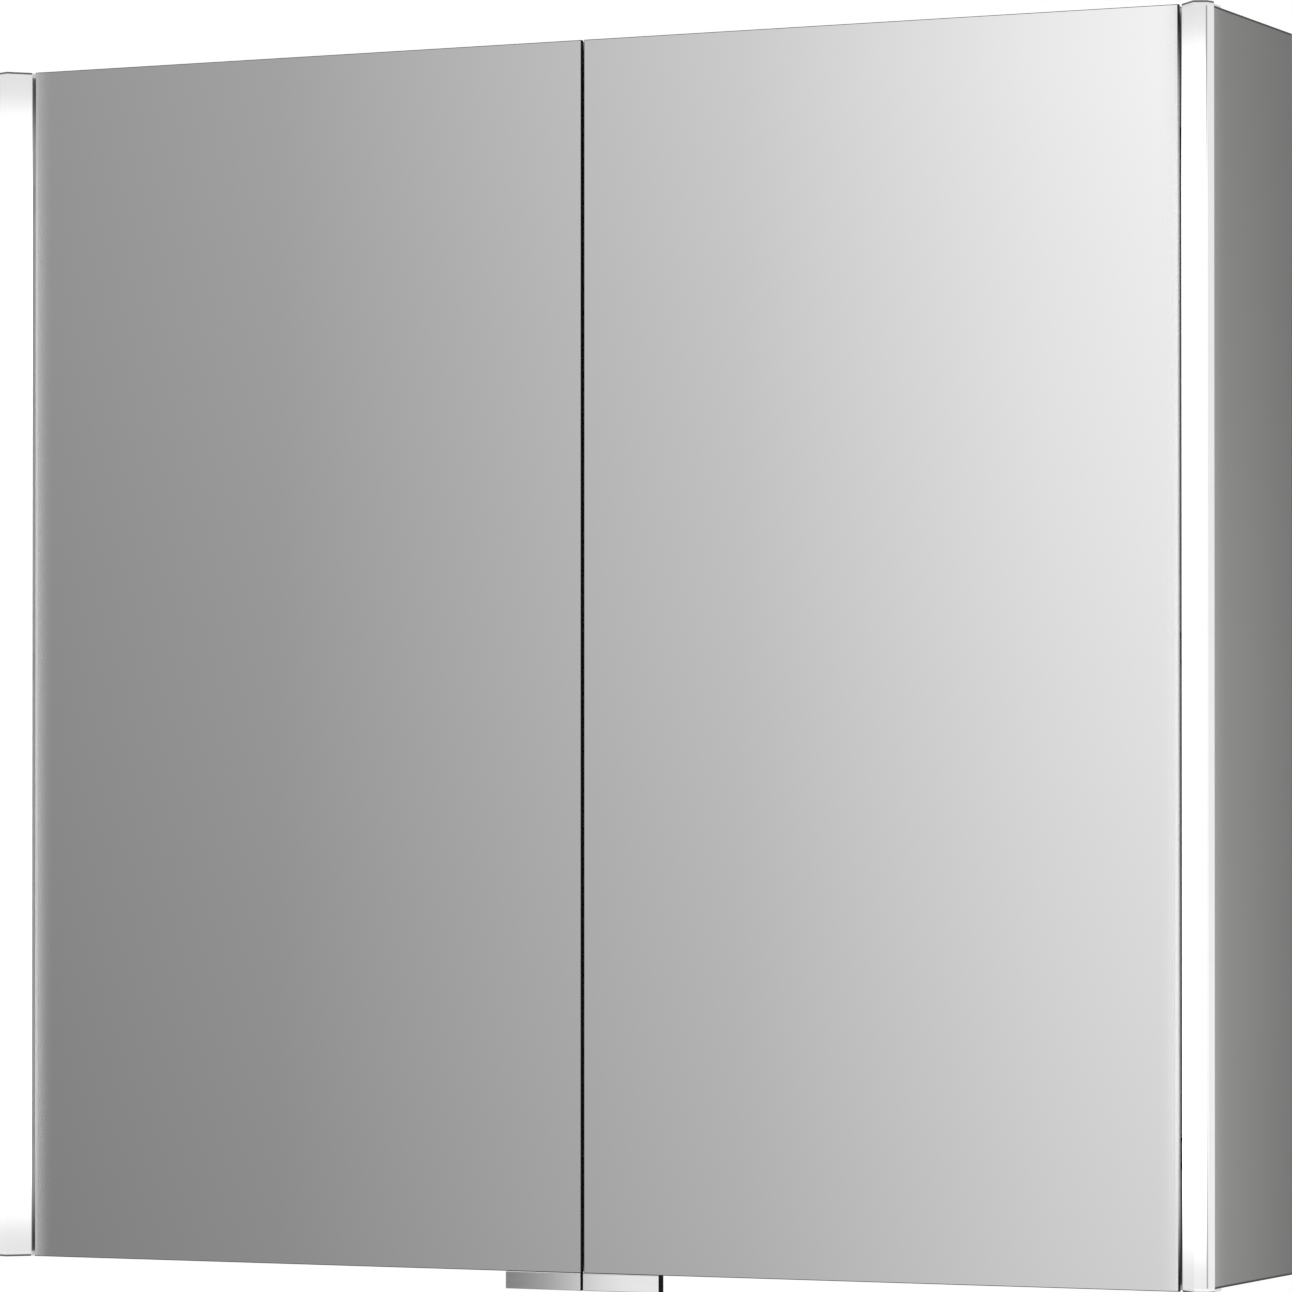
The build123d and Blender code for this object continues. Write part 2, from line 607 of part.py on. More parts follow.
def light_switch():
    """Rocker on two trunnions, drawn pressed at its lower end, which is on."""
    wide, tall = SWITCH_HALF
    upper = [(-SWITCH_TIP, tall), (-SWITCH_TIP_BACK, tall), SWITCH_ROOT]
    lower = [(y, -z) for y, z in reversed(upper)]
    outline = [(-SWITCH_CREST, 0)] + upper + lower
    face = make_face(Polyline(*[(0, y, z) for y, z in outline], close=True))
    rocker = extrude(Pos(-wide, 0, 0) * face, amount=2 * wide, dir=(1, 0, 0))
    rocker += rod_x((-wide - TRUNNION_LENGTH, wide + TRUNNION_LENGTH), 0, 0, TRUNNION)
    tilted = Rot(SWITCH_TILT, 0, 0) * rocker
    return Pos(SWITCH_X, -UNIT_FRONT + SWITCH_PIVOT_BACK, UNIT_Z) * tilted


def led_driver():
    x, y, z = DRIVER_X, (-DRIVER_FRONT, -BACK_PANEL), (DRIVER_Z_BOTTOM, INNER_TOP)
    w = DRIVER_WALL
    shell = block(x, y, z) - block((x[0] + w, x[1] - w), (y[0] + w, y[1] - w), (z[0], z[1] - w))
    return shell - lead_way(x)


def led_driver_cover():
    x, y = DRIVER_X, (-DRIVER_FRONT, -BACK_PANEL)
    plate = block(x, y, (DRIVER_Z_BOTTOM - DRIVER_WALL, DRIVER_Z_BOTTOM))
    return fillet(plate.edges().filter_by(Axis.Z), DRIVER_CORNER)


def lights_lead(x):
    """A straight lead under the top panel, from the driver into a side panel."""
    return rod_x(x, -LEAD_Y, LEAD_Z, LEAD_RADIUS)


os.makedirs("parts", exist_ok=True)

save_pair("side_panel", side_panel())
save("top_panel", cross_panel(1))
save("bottom_panel", cross_panel(-1))
save("centre_partition", centre_partition())
save("back_panel", back_panel())
save_group("wall_fixing_washers", fixing_washers())
save("cable_grommet", cable_grommet())
save_pair("rear_mirror", rear_mirror())
for number, height in enumerate(SHELF_HEIGHTS, start=1):
    shelf = glass_shelf(height)
    save(f"glass_shelf_left_{number}", shelf)
    save(f"glass_shelf_right_{number}", mirror(shelf, about=Plane.YZ))
save_pair_group("shelf_pegs", shelf_pegs())

save_pair("light_carrier", light_carrier())
save_pair("led_strip", led_strip())
save_pair("light_lens", light_lens())
save_pair_group("light_end_caps", light_end_caps())

save_pair("door_front_mirror", door_front_mirror())
save_pair("door_back_mirror", door_back_mirror())
save_pair("door_frame", door_frame())
save_pair("door_core", core_opening())
save_pair("door_handle", door_handle())
save_pair_group("handle_screws", handle_screws())
save_pair_group("hinge_cups", hinge_cups())
save_pair_group("hinge_cup_screws", hinge_cup_screws())
save_pair_group("hinge_pins", hinge_pins())
save_pair_group("hinge_arms", hinge_arms())
save_pair_group("hinge_plates", hinge_plates())
save_pair_group("hinge_plate_screws", hinge_plate_screws())
save_group("door_bumpers", door_bumpers())

save("power_unit", power_unit())
save("socket_insert", socket_insert())
save("light_switch", light_switch())
save("led_driver", led_driver())
save("led_driver_cover", led_driver_cover())
save("lights_lead_left", lights_lead((-SIDE_INNER - LEAD_IN_WALL, DRIVER_X[0] + DRIVER_WALL)))
save("lights_lead_right", lights_lead((DRIVER_X[1] - DRIVER_WALL, SIDE_INNER + LEAD_IN_WALL)))
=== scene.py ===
import json
from math import cos, pi, radians, sin

import bmesh
import bpy
from mathutils import Matrix, Vector


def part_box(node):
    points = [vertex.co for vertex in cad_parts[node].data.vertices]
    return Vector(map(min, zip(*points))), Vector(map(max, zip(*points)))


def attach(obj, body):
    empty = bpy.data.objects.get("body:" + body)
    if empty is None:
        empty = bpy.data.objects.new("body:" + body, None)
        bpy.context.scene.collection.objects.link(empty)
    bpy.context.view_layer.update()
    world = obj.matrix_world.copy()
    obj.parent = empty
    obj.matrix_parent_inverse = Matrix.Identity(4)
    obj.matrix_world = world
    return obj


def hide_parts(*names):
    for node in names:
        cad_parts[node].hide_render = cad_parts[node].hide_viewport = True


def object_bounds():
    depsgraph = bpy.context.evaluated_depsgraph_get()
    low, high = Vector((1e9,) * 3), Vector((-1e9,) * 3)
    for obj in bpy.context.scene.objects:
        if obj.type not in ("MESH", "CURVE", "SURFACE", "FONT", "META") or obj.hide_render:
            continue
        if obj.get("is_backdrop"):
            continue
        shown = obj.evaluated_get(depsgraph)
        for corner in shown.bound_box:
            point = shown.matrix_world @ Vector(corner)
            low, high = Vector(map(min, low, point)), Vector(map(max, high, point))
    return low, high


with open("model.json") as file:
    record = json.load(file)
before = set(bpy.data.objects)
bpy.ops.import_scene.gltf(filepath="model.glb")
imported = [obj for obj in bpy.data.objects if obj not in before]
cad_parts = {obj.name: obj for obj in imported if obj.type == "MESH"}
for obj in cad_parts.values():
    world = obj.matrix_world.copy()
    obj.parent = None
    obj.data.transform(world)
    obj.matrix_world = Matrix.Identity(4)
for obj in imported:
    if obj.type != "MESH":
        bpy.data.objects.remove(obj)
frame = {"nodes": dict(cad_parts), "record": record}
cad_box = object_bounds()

# Metres throughout: the wall is at y = 0, the mirrors look along -y, and z = 0 is half way up them.
UP = Vector((0, 0, 1))
SIDES = {"left": -1, "right": 1}


# ---------------------------------------------------------------- places

door_low, door_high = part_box("door_front_mirror_right")
lens_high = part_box("light_lens_right")[1]
panel_low, panel_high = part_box("side_panel_right")

DOOR_END = door_high.x
DOOR_FACE = -door_low.y
LENS_END = lens_high.z
LENS_STRIP = 0.0019  # width of the lens's narrow outer strip, beside its flat front
LENS_CORNER = lens_high.x - LENS_STRIP
CAP_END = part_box("light_end_caps_right")[1].z
LED_HEIGHT = 0.0008
BOARD_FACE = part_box("led_strip_right")[0].y + LED_HEIGHT  # the circuit board's, behind the LEDs
CARRIER_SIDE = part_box("light_carrier_right")[0].x  # the side towards the door
HANDLE_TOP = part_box("door_handle_left")[1].z
PANEL_FRONT = -panel_low.y
PANEL_OUTSIDE = panel_high.x
PANEL_INSIDE = panel_low.x
PANEL_END = panel_high.z
PARTITION_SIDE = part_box("centre_partition")[1].x

HINGE_LEVELS = (-0.290, 0.0, 0.290)
HINGE_PLATE = 0.003
HINGE_ARM = 0.0032
SHELF_LEVELS = (-0.195, -0.035, 0.125)
PEG_BELOW_SHELF = 0.0055
PEG_ROWS = (-0.080, -0.024)


# ---------------------------------------------------------------- shader arithmetic

class Signal:
    """The output of a node, on which Python's operators add Math nodes."""

    def __init__(self, board, socket):
        self.board, self.socket = board, socket

    def __add__(self, other):
        return self.board.math("ADD", self, other)

    def __sub__(self, other):
        return self.board.math("SUBTRACT", self, other)

    def __rsub__(self, other):
        return self.board.math("SUBTRACT", other, self)

    def __mul__(self, other):
        return self.board.math("MULTIPLY", self, other)

    def __truediv__(self, other):
        return self.board.math("DIVIDE", self, other)

    def __rtruediv__(self, other):
        return self.board.math("DIVIDE", other, self)

    __radd__, __rmul__ = __add__, __mul__

    def __neg__(self):
        return self * -1

    def __abs__(self):
        return self.board.math("ABSOLUTE", self)

    def at_most(self, other):
        return self.board.math("MINIMUM", self, other)

    def at_least(self, other):
        return self.board.math("MAXIMUM", self, other)

    def swing(self, amount):
        """A noise from 0 to 1, turned into a small amount either side of nothing."""
        return (self - 0.5) * amount

    def between(self, low, high):
        """0 before low and 1 past high, with a smooth rise; high may be the lower of the two."""
        settings = {"interpolation_type": "SMOOTHSTEP"}
        return self.board.node("ShaderNodeMapRange", settings, {"Value": self, 1: low, 2: high})

    def near(self, edge, width, soft):
        """1 within a width of the edge that the values rise to, 0 a soft stretch before that."""
        return self.between(edge - width - soft, edge - width)


class Board:
    """A node tree with one method that adds any node."""

    def __init__(self, tree):
        self.tree = tree
        tree.nodes.clear()

    def node(self, kind, settings=None, values=(), output=0):
        made = self.tree.nodes.new(kind)
        for name, setting in (settings or {}).items():
            if name == "stops":
                self.fill_ramp(made.color_ramp, setting)
            else:
                setattr(made, name, setting)
        pairs = values.items() if isinstance(values, dict) else enumerate(values)
        for key, value in pairs:
            socket = made.inputs[key]
            if isinstance(value, Signal):
                self.tree.links.new(value.socket, socket)
            elif hasattr(socket.default_value, "__len__"):
                socket.default_value = tuple(value)[: len(socket.default_value)]
            else:
                socket.default_value = value
        return Signal(self, made.outputs[output]) if len(made.outputs) else made

    @staticmethod
    def fill_ramp(ramp, stops):
        while len(ramp.elements) < len(stops):
            ramp.elements.new(0.5)
        for element, (position, level) in zip(ramp.elements, stops):
            element.position = position
            element.color = (level, level, level, 1)

    def math(self, operation, *values):
        return self.node("ShaderNodeMath", {"operation": operation}, values)

    def place(self):
        """A point of the surface in the cabinet's own frame, as a vector."""
        return self.node("ShaderNodeTexCoord", output="Object")

    def facing(self):
        """The surface's own normal, as its three parts."""
        return self.split(self.node("ShaderNodeTexCoord", output="Normal"))

    def split(self, vector):
        made = self.node("ShaderNodeSeparateXYZ", values=[vector])
        return [Signal(self, socket) for socket in made.socket.node.outputs]

    def stretched(self, vector, scale):
        settings = {"operation": "MULTIPLY"}
        return self.node("ShaderNodeVectorMath", settings, [vector, scale])

    def noise(self, vector, scale, detail=2.0, rough=0.5):
        values = {"Vector": vector, "Scale": scale, "Detail": detail, "Roughness": rough}
        return self.node("ShaderNodeTexNoise", values=values, output="Fac")

    def drawn_lines(self, place):
        """The fine lines that drawing leaves along an upright extrusion."""
        return self.noise(self.stretched(place, (60.0, 60.0, 1.0)), 22.0, detail=4.0, rough=0.6)

    def blend(self, factor, first, second):
        """A colour between two colours."""
        values = {0: factor, 6: first, 7: second}
        made = self.node("ShaderNodeMix", {"data_type": "RGBA"}, values)
        return Signal(self, made.socket.node.outputs[2])

    def bump(self, height, distance, strength=1.0):
        values = {"Height": height, "Distance": distance, "Strength": strength}
        return self.node("ShaderNodeBump", values=values)

    def principled(self, **values):
        """A Principled shader; an underscore in a name stands for a space."""
        spaced = {name.replace("_", " "): value for name, value in values.items()}
        return self.node("ShaderNodeBsdfPrincipled", values=spaced)


def grey(value, warmth=0.0):
    return (value * (1 + warmth), value, value * (1 - warmth), 1)


BLACK, WHITE = grey(0.0), grey(1.0)


def new_material(name):
    material = bpy.data.materials.new(name)
    material.use_nodes = True
    return material, Board(material.node_tree)


def finish_of(name, **plain):
    """The board of a new material, and a function that ends it in one Principled shader."""
    material, board = new_material(name)

    def shade(**varying):
        surface = board.principled(**plain, **varying)
        board.node("ShaderNodeOutputMaterial", values=[surface])
        return material

    return board, shade


# ---------------------------------------------------------------- finishes

def anodised(name, tone, roughness):
    """Satin anodised aluminium with a fine drawn grain along its length."""
    board, shade = finish_of(name, Metallic=0.85)
    place = board.place()
    lines = board.drawn_lines(place)
    cloud = board.noise(place, 9.0, detail=3.0)
    light = lines.swing(0.16) + cloud.swing(0.10) + 0.5
    return shade(
        Base_Color=board.blend(light, grey(tone * 0.82), grey(tone * 1.18)),
        Roughness=cloud.swing(0.12) + lines.swing(0.10) + roughness,
        Normal=board.bump(lines, 0.00002, 0.5),
    )


def panel_finish():
    """Matt anodised panels: the sides' outer faces carry a painted falloff of light from front to
    rear, brightest by the light bars, with a lighter front lip, painted shade along the rear edge
    by the wall and dark cut ends.
    """
    board, shade = finish_of("anodised_panel", Metallic=0.35)
    place = board.place()
    x, y, z = board.split(place)
    lines = board.drawn_lines(place)
    cloud = board.noise(place, 7.0, detail=3.0)

    # Painted light on the outer faces: a glow by the light bars and a falloff towards the wall
    painted_bar_glow = (-y).between(PANEL_FRONT - 0.030, PANEL_FRONT + 0.004)
    painted_light_falloff = y * (-1 / PANEL_FRONT) * 0.40 + painted_bar_glow * painted_bar_glow * 0.42 - 0.41
    outer_face = abs(x).near(PANEL_OUTSIDE, width=0.0003, soft=0.0003)
    light = lines.swing(0.10) + cloud.swing(0.06) + outer_face * painted_light_falloff + 0.56
    colour = board.blend(light, grey(0.22, 0.014), grey(0.495, 0.010))

    sideways = abs(board.facing()[0]).between(0.4, 0.6)
    front_lip = (-y).near(PANEL_FRONT, width=0.0006, soft=0.0006)
    # Painted shade along the side faces' rear edge, by the wall
    painted_shade_by_wall = y.near(0.0, width=0.0012, soft=0.0004) * sideways
    cut_end = abs(z).near(PANEL_END, width=0.0010, soft=0.0004) * sideways
    colour = board.blend(front_lip, colour, grey(0.62, 0.01))
    colour = board.blend(painted_shade_by_wall, colour, grey(0.10))
    colour = board.blend(cut_end, colour, grey(0.09))
    return shade(
        Base_Color=colour,
        Roughness=cloud.swing(0.12) + lines.swing(0.10) + 0.46,
        Normal=board.bump(lines, 0.00002, 0.5),
    )


PAINTED_LEAK_GLOW = 0.10  # painted glow that stands for light leaking from a bar into the gap beside the door
PAINTED_LEAK_FADE = 0.05  # length over which it fades before the bar's ends
PAINTED_LEAK_DEPTHS = (0.120, 0.134)  # distances from the wall between which it grows on the carrier


def along_the_bar(z):
    """1 along a light bar, falling to 0 at its ends."""
    return abs(z).between(LENS_END, LENS_END - PAINTED_LEAK_FADE)


def carrier_finish():
    """Channel behind the light bar, whose side towards the door carries a painted glow for what
    leaks from the bar.
    """
    board, shade = finish_of("carrier_aluminium", Metallic=0.6, Emission_Strength=1.0)
    place = board.place()
    x, y, z = board.split(place)
    lines = board.drawn_lines(place)
    towards_door = abs(x).between(CARRIER_SIDE + 0.0004, CARRIER_SIDE + 0.0001)
    # Painted glow: the carrier's side towards the door emits, as if lit by the bar
    painted_leak = towards_door * along_the_bar(z) * (-y).between(*PAINTED_LEAK_DEPTHS)
    return shade(
        Base_Color=board.blend(lines, grey(0.48), grey(0.62)),
        Roughness=lines.swing(0.12) + 0.36,
        Emission_Color=board.blend(painted_leak, BLACK, grey(PAINTED_LEAK_GLOW * 2)),
    )


HAZE_WIDTH = 0.018  # how far a bar's glow reaches over the mirror
HAZE_AT_BARS = 0.34
HAZE_AT_RIM = 0.16


def door_mirror():
    """Door mirror: silver under a thin film of dust and the bars' glow, with dark ground edges that
    carry a painted glow beside the gap by the bars.
    """
    material, board = new_material("door_mirror_glass")
    place = board.place()
    x, _, z = board.split(place)
    dust = board.noise(place, 260.0, detail=3.0, rough=0.7).between(0.66, 0.82)
    smear = board.noise(board.stretched(place, (1.0, 1.0, 2.2)), 3.0, detail=4.0)
    ripple = board.noise(place, 5.0, detail=1.0)
    grinding = board.noise(place, 900.0)

    glow = abs(x).between(DOOR_END - HAZE_WIDTH, DOOR_END)
    rim = abs(x).near(DOOR_END, width=0.0012, soft=0.0014)
    haze = glow * glow * glow * HAZE_AT_BARS + rim * HAZE_AT_RIM + dust * 0.006
    # Painted glow on the ground edge beside the gap: a lighter colour and emission for light
    # leaking from the bar
    painted_leak = abs(x).near(DOOR_END, width=0.0008, soft=0.0022) * along_the_bar(z)
    ground = board.blend(grinding, (0.006, 0.010, 0.009, 1), (0.018, 0.028, 0.025, 1))

    silver = board.principled(
        Base_Color=board.blend(smear, grey(0.925), grey(0.955)),
        Metallic=1.0,
        Roughness=smear * 0.010 + 0.004,
        Normal=board.bump(ripple, 0.00002, 0.12),
    )
    film = board.principled(
        Base_Color=board.blend(dust, grey(0.86), grey(0.92)),
        Roughness=dust * 0.2 + 0.55,
    )
    ground_edge = board.principled(
        Base_Color=board.blend(painted_leak, ground, grey(0.35)),
        Roughness=grinding * 0.2 + 0.40,
        Specular_IOR_Level=0.15,
        Emission_Color=board.blend(painted_leak, BLACK, grey(PAINTED_LEAK_GLOW)),
        Emission_Strength=1.0,
    )
    broad_face = abs(board.facing()[1]).between(0.90, 0.99)  # towards the room or the wall
    front = board.node("ShaderNodeMixShader", values=[haze, silver, film])
    whole = board.node("ShaderNodeMixShader", values=[broad_face, ground_edge, front])
    board.node("ShaderNodeOutputMaterial", values=[whole])
    return material


FULL_GLOW = 3.0  # of a light bar's front, in its middle
NEAR_END_GLOW = 0.66
END_GLOW = 0.56
STRIP_GLOW = 0.58  # of its narrow outer strip
CORNER_SHADE = 0.86
LAST_STRETCH = (0.0, 0.022)  # from the bar's end, where the glow rises a little
INWARDS = (0.008, 0.110)  # and where it rises to its full strength


def opal_lens():
    """Lit opal plastic: full in its length, weaker near its ends and on its narrow outer strip."""
    board, shade = finish_of("opal_lens", Roughness=0.28, Emission_Strength=FULL_GLOW)
    place = board.place()
    x, _, z = board.split(place)
    cloud = board.noise(place, 60.0, detail=3.0)
    from_end = LENS_END - abs(z)
    last_stretch = from_end.between(*LAST_STRETCH)
    inwards = from_end.between(*INWARDS)
    strip = abs(x).between(LENS_CORNER - 0.0002, LENS_CORNER + 0.0002)
    corner = abs(x).near(LENS_CORNER, width=0.0004, soft=0.0005) * (1 - strip)

    ends = last_stretch * (NEAR_END_GLOW - END_GLOW) + END_GLOW
    glow = ends / FULL_GLOW + inwards * (1 - NEAR_END_GLOW / FULL_GLOW)
    glow = glow * (1 - strip) + strip * (STRIP_GLOW / FULL_GLOW)
    glow = glow * (1 - corner * CORNER_SHADE) * (cloud * 0.02 + 0.99)
    return shade(
        Base_Color=board.blend(cloud, grey(0.22), grey(0.26)),
        Emission_Color=board.blend(glow, BLACK, WHITE),
        Normal=board.bump(cloud, 0.00003, 0.2),
    )


def opal_cap():
    """End caps of the light bars: pale, with a darker outer rim."""
    board, shade = finish_of("opal_cap", Emission_Strength=1.0)
    place = board.place()
    _, y, z = board.split(place)
    cloud = board.noise(place, 400.0)
    outer_end = abs(z).near(CAP_END, width=0.0010, soft=0.0004)
    rim = outer_end * (-y).between(DOOR_FACE, DOOR_FACE + 0.0004)
    return shade(
        Base_Color=board.blend(rim * (cloud * 0.2 + 0.8), grey(0.50), grey(0.07)),
        Roughness=cloud * 0.1 + 0.2,
        Emission_Color=board.blend(rim, grey(0.36), grey(0.02)),
    )


# The handles' front is very slightly crowned: its curve across, and its slopes across and upwards
HANDLE_CROWN = 1.0
HANDLE_TURN = 0.024
HANDLE_LEAN = 0.09


def brushed_handle():
    """Metal brushed along its length, very slightly crowned, with dark sawn ends and painted shade
    along its top edge.
    """
    board, shade = finish_of("brushed_handle", Metallic=1.0)
    place = board.place()
    x, _, z = board.split(place)
    along = board.stretched(place, (1.0, 90.0, 90.0))
    marks = board.noise(along, 34.0, detail=6.0, rough=0.65)
    fine_marks = board.noise(along, 120.0)
    sawn_end = abs(board.facing()[0]).between(0.85, 0.98)
    painted_top_edge_shade = z.near(HANDLE_TOP, width=0.0003, soft=0.0004)
    # The dark mask mixes the sawn ends' own dark colour with the painted shade along the top edge
    dark = sawn_end.at_least(painted_top_edge_shade * 0.35)
    light = marks.swing(0.9) + fine_marks.swing(0.3) + 0.5
    metal = board.blend(light, grey(0.74), grey(1.0))
    crown = x * x * -HANDLE_CROWN + x * -HANDLE_TURN + z * -HANDLE_LEAN
    return shade(
        Base_Color=board.blend(dark, metal, grey(0.03)),
        Roughness=marks.swing(0.18) + dark * 0.3 + 0.20,
        Normal=board.bump(crown + marks * 0.00002, 1.0),
    )


def nickel(name, tone, roughness):
    """Plated steel, stamped and tumbled, with faint stains."""
    board, shade = finish_of(name, Metallic=1.0)
    place = board.place()
    stain = board.noise(place, 90.0, detail=5.0, rough=0.6)
    speck = board.noise(place, 1400.0)
    return shade(
        Base_Color=board.blend(stain, grey(tone * 0.84, 0.02), grey(tone * 1.08, 0.01)),
        Roughness=stain * 0.20 + roughness - 0.08,
        Normal=board.bump(speck, 0.00002, 0.4),
    )


def moulded(name, tone, roughness, coat=0.0, warmth=0.01, grain=0.00004):
    """Moulded plastic or rubber: fine texture, slow drift of colour."""
    board, shade = finish_of(name, Coat_Weight=coat, Coat_Roughness=0.15)
    place = board.place()
    texture = board.noise(place, 1500.0)
    drift = board.noise(place, 16.0, detail=3.0)
    return shade(
        Base_Color=board.blend(drift, grey(tone * 0.94, warmth), grey(tone * 1.04, warmth)),
        Roughness=texture.swing(0.16) + drift.swing(0.10) + roughness,
        Normal=board.bump(texture, grain, 0.5),
    )


def lacquered_board():
    """White lacquer with faint roller texture over pressed board."""
    board, shade = finish_of("lacquered_board")
    place = board.place()
    peel = board.noise(place, 420.0, detail=3.0)
    drift = board.noise(place, 6.0, detail=3.0)
    fleck = board.noise(place, 2600.0, detail=1.0).between(0.70, 0.80)
    lacquer = board.blend(drift, grey(0.70, 0.004), grey(0.76, 0.004))
    return shade(
        Base_Color=board.blend(fleck * 0.25, lacquer, grey(0.55, 0.02)),
        Roughness=peel * 0.2 + 0.34,
        Normal=board.bump(peel, 0.00006, 0.5),
    )


def pressed_board():
    """Raw board of pressed wood chips, as in the doors' cores."""
    board, shade = finish_of("pressed_board")
    chips = board.noise(board.place(), 300.0, detail=5.0, rough=0.7)
    return shade(
        Base_Color=board.blend(chips, (0.34, 0.24, 0.15, 1), (0.62, 0.49, 0.34, 1)),
        Roughness=chips * 0.2 + 0.7,
        Normal=board.bump(chips, 0.0001),
    )


def shelf_glass():
    """Clear glass whose ground long edges show green."""
    board, shade = finish_of("shelf_glass", Transmission_Weight=1.0, IOR=1.5)
    place = board.place()
    edge = 1 - abs(board.facing()[2]).between(0.80, 0.98)
    smear = board.noise(place, 14.0, detail=4.0)
    grinding = board.noise(place, 1200.0)
    return shade(
        Base_Color=board.blend(edge, (0.96, 0.985, 0.975, 1), (0.55, 0.78, 0.70, 1)),
        Roughness=edge * (grinding * 0.25 + 0.12) + smear * 0.015,
    )


def led_board():
    """White circuit strip whose LEDs stand out in pale yellow and are lit."""
    board, shade = finish_of("led_board", Emission_Strength=2.0, Roughness=0.4)
    place = board.place()
    chip = (BOARD_FACE - board.split(place)[1]).between(0.0, 0.0003)
    grid = board.stretched(place, (500.0, 1.0, 6.0))
    tracks = board.noise(grid, 1.0, detail=1.0).between(0.50, 0.56)
    strip = board.blend(tracks * 0.4, grey(0.86), grey(0.55))
    return shade(
        Base_Color=board.blend(chip, strip, (0.95, 0.85, 0.45, 1)),
        Emission_Color=board.blend(chip, grey(0.02), (1.0, 0.98, 0.92, 1)),
    )


FINISHES = {
    "anodised_panel": panel_finish(),
    "light_aluminium": anodised("light_aluminium", 0.62, roughness=0.34),
    "back_board": lacquered_board(),
    # The four mirrors behind the door mirrors keep the plain pale finish that the frame gives them
    "mirror_glass": bpy.data.materials["mirror_glass"],
    "shelf_glass": shelf_glass(),
    "bright_steel": nickel("bright_steel", 0.72, roughness=0.20),
    "hinge_steel": nickel("hinge_steel", 0.60, roughness=0.28),
    "led_board": led_board(),
    "opal_lens": opal_lens(),
    "opal_cap": opal_cap(),
    "core_board": pressed_board(),
    "brushed_handle": brushed_handle(),
    "soft_rubber": moulded("soft_rubber", 0.035, roughness=0.62, warmth=0.0, grain=0.00008),
    "white_plastic": moulded("white_plastic", 0.80, roughness=0.30, coat=0.15),
    "grey_plastic": moulded("grey_plastic", 0.60, roughness=0.46),
    "lead_sheath": moulded("lead_sheath", 0.72, roughness=0.45),
}
DOOR_MIRROR = door_mirror()
CARRIER = carrier_finish()

SLOTS = {part["node"]: part["material_slot"] for part in frame["record"]["subparts"]}
for name, slot in SLOTS.items():
    node = frame["nodes"][name]
    node.data.materials.clear()
    node.data.materials.append(FINISHES[slot])
for side in SIDES:
    frame["nodes"][f"door_front_mirror_{side}"].data.materials[0] = DOOR_MIRROR
    frame["nodes"][f"light_carrier_{side}"].data.materials[0] = CARRIER


# ---------------------------------------------------------------- mesh helpers

FOLD = radians(35)  # an edge sharper than this stays sharp, or is the one that gets rounded


def new_piece(name, mesh, body, slot, material=None):
    """Puts a bmesh into the scene as a piece that rides on a body."""
    data = bpy.data.meshes.new(name)
    mesh.to_mesh(data)
    mesh.free()
    data.shade_smooth()
    data.set_sharp_from_angle(angle=FOLD)
    piece = bpy.data.objects.new(name, data)
    bpy.context.scene.collection.objects.link(piece)
    data.materials.append(material or FINISHES[slot])
    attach(piece, body)
    return piece


def round_edges(piece, radius, segments=2):
    bevel = piece.modifiers.new("rounded", "BEVEL")
    bevel.width, bevel.segments = radius, segments
    bevel.limit_method, bevel.angle_limit = "ANGLE", FOLD
    bevel.harden_normals = True


def body_of(node):
    bodies = frame["record"]["behaviour"]["bodies"]
    return next(body for body, nodes in bodies.items() if node in nodes)


def softened(node, radius, segments):
    """A copy of a CAD node with its edges rounded, which stands for it."""
    source = frame["nodes"][node].data
    mesh = bmesh.new()
    mesh.from_mesh(source)
    bmesh.ops.remove_doubles(mesh, verts=mesh.verts, dist=0.000002)
    bmesh.ops.dissolve_limit(mesh, angle_limit=radians(1), verts=mesh.verts, edges=mesh.edges)
    piece = new_piece(f"{node}_soft", mesh, body_of(node), SLOTS[node], source.materials[0])
    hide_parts(node)
    round_edges(piece, radius, segments)


def turned(mesh, profile, place, axis, steps=24):
    """Turns a profile of (radius, distance along the axis) into a solid of revolution.

    A profile that ends where it starts makes a ring.
    """
    turn = UP.rotation_difference(Vector(axis)).to_matrix().to_4x4()
    seat = Matrix.Translation(place) @ turn
    closed = profile[0] == profile[-1]
    rings, faces = [], []
    for radius, along in profile[:-1] if closed else profile:
        count = 1 if radius == 0 else steps
        ring = []
        for step in range(count):
            angle = 2 * pi * step / count
            point = Vector((radius * cos(angle), radius * sin(angle), along))
            ring.append(mesh.verts.new(seat @ point))
        rings.append(ring)
    if closed:
        rings.append(rings[0])
    for first, second in zip(rings, rings[1:]):
        for step in range(steps):
            a, b = first[step % len(first)], first[(step + 1) % len(first)]
            c, d = second[(step + 1) % len(second)], second[step % len(second)]
            corners = list(dict.fromkeys((a, b, c, d)))
            faces.append(mesh.faces.new(corners))
    bmesh.ops.recalc_face_normals(mesh, faces=faces)


def block(mesh, low, high):
    """An upright box between two corners."""
    low, high = Vector(low), Vector(high)
    scale = Matrix.Diagonal(Vector([*(high - low), 1]))
    bmesh.ops.create_cube(mesh, size=1, matrix=Matrix.Translation((low + high) / 2) @ scale)


